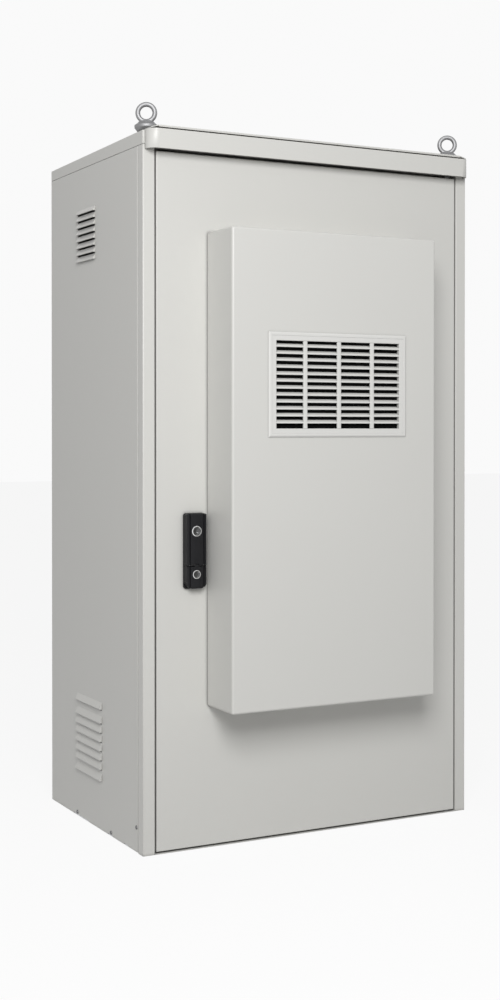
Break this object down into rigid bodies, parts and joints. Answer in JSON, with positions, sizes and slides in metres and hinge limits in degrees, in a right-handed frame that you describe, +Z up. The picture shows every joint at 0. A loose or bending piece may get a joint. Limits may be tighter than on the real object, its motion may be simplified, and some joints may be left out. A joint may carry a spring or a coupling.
{
  "type": "roadside utility cabinet",
  "caption": "Upright sheet metal street cabinet with a hinged locking door, a door mounted air conditioner, side louvres, a raised roof with lifting eyes and equipment rails inside.",
  "frame": {"origin": "on the ground, in the middle of the four anchor holes", "axes": "+Z up, the door faces -Y, +X to the right of someone who faces the door"},
  "size_m": [0.811, 0.652, 1.5415],
  "materials": {
    "cabinet_paint": "light warm grey powder coat",
    "cooler_paint": "light warm grey powder coat, smooth",
    "zinc_steel": "zinc plated",
    "eye_steel": "dull zinc plated",
    "screw_steel": "zinc plated",
    "lock_chrome": "polished chrome",
    "handle_black": "fine grained black",
    "grille_plastic": "light grey, smooth",
    "filter_foam": "open black foam",
    "seal_rubber": "closed cell foam rubber",
    "fan_plastic": "black",
    "exchanger_aluminium": "bright fins",
    "compressor_paint": "black enamel",
    "bar_copper": "bright copper",
    "insulator_resin": "red-brown resin",
    "gland_plastic": "black polyamide"
  },
  "bodies": {
    "cabinet": {"base_frame": "zinc_steel", "floor_plate": "zinc_steel", "gland_plate": "zinc_steel", "cable_glands": "gland_plastic", "gland_nuts": "gland_plastic", "front_post_right": "cabinet_paint", "front_post_left": "cabinet_paint", "head_rail": "cabinet_paint", "door_sill": "cabinet_paint", "rear_post_right": "zinc_steel", "rear_post_left": "zinc_steel", "side_panel_right": "cabinet_paint", "side_panel_left": "cabinet_paint", "back_panel": "cabinet_paint", "roof_frame": "zinc_steel", "roof_deck": "cabinet_paint", "roof_fascia": "cabinet_paint", "roof_cover": "cabinet_paint", "lifting_eyes": "eye_steel", "eye_nuts": "screw_steel", "rail_crossbars": "zinc_steel", "rail_front_right": "zinc_steel", "rail_front_left": "zinc_steel", "rail_rear_right": "zinc_steel", "rail_rear_left": "zinc_steel", "equipment_shelf": "zinc_steel", "bar_insulators": "insulator_resin", "earth_bar": "bar_copper", "panel_screws": "screw_steel", "hinge_pins": "screw_steel", "rod_keepers": "zinc_steel"},
    "door": {"door_panel": "cabinet_paint", "door_stiffeners": "zinc_steel", "door_gasket": "seal_rubber", "hinge_bushes": "zinc_steel", "rod_guides": "zinc_steel", "handle_base": "handle_black", "ac_gasket": "seal_rubber", "ac_chassis": "zinc_steel", "ac_cover": "cooler_paint", "ac_screws": "screw_steel", "ac_grille": "grille_plastic", "ac_filter": "filter_foam", "ac_condenser": "exchanger_aluminium", "ac_evaporator": "exchanger_aluminium", "ac_compressor": "compressor_paint", "ac_fan_motors": "compressor_paint", "ac_inner_cover": "cooler_paint"},
    "handle": {"handle_carrier": "handle_black", "spindle_cap": "lock_chrome", "lock_cam": "zinc_steel"},
    "lever": {"handle_lever": "handle_black", "lever_pin": "screw_steel"},
    "key": {"key_barrel": "lock_chrome"},
    "rod_top": {"lock_rod_top": "zinc_steel"},
    "rod_bottom": {"lock_rod_bottom": "zinc_steel"},
    "outer_fan": {"ac_outer_fan": "fan_plastic"},
    "inner_fan": {"ac_inner_fan": "fan_plastic"}
  },
  "joints": [
    {"name": "door_hinge", "type": "hinge", "parent": "cabinet", "child": "door", "pos_m": [0.354, -0.256, 0.72], "axis": [0, 0, 1], "range_deg": [0, 110]},
    {"name": "handle_turn", "type": "hinge", "parent": "door", "child": "handle", "pos_m": [-0.287, -0.273, 0.571], "axis": [0, -1, 0], "range_deg": [0, 90]},
    {"name": "lever_lift", "type": "hinge", "parent": "handle", "child": "lever", "pos_m": [-0.287, -0.2798, 0.59], "axis": [1, 0, 0], "range_deg": [0, 30]},
    {"name": "key_turn", "type": "hinge", "parent": "lever", "child": "key", "pos_m": [-0.287, -0.278, 0.66], "axis": [0, -1, 0], "range_deg": [0, 90]},
    {"name": "rod_top_slide", "type": "slide", "parent": "door", "child": "rod_top", "axis": [0, 0, -1], "range_m": [0, 0.0227]},
    {"name": "rod_bottom_slide", "type": "slide", "parent": "door", "child": "rod_bottom", "axis": [0, 0, 1], "range_m": [0, 0.0227]},
    {"name": "outer_fan_spin", "type": "hinge", "parent": "door", "child": "outer_fan", "pos_m": [-0.0063, -0.33, 0.9609], "axis": [0, -1, 0], "continuous": true},
    {"name": "inner_fan_spin", "type": "hinge", "parent": "door", "child": "inner_fan", "pos_m": [-0.009, -0.22, 1.08], "axis": [0, -1, 0], "continuous": true}
  ],
  "couplings": [
    {"joint": "rod_top_slide", "follows": "handle_turn", "m_per_rad": 0.014406},
    {"joint": "rod_bottom_slide", "follows": "handle_turn", "m_per_rad": 0.014406}
  ]
}
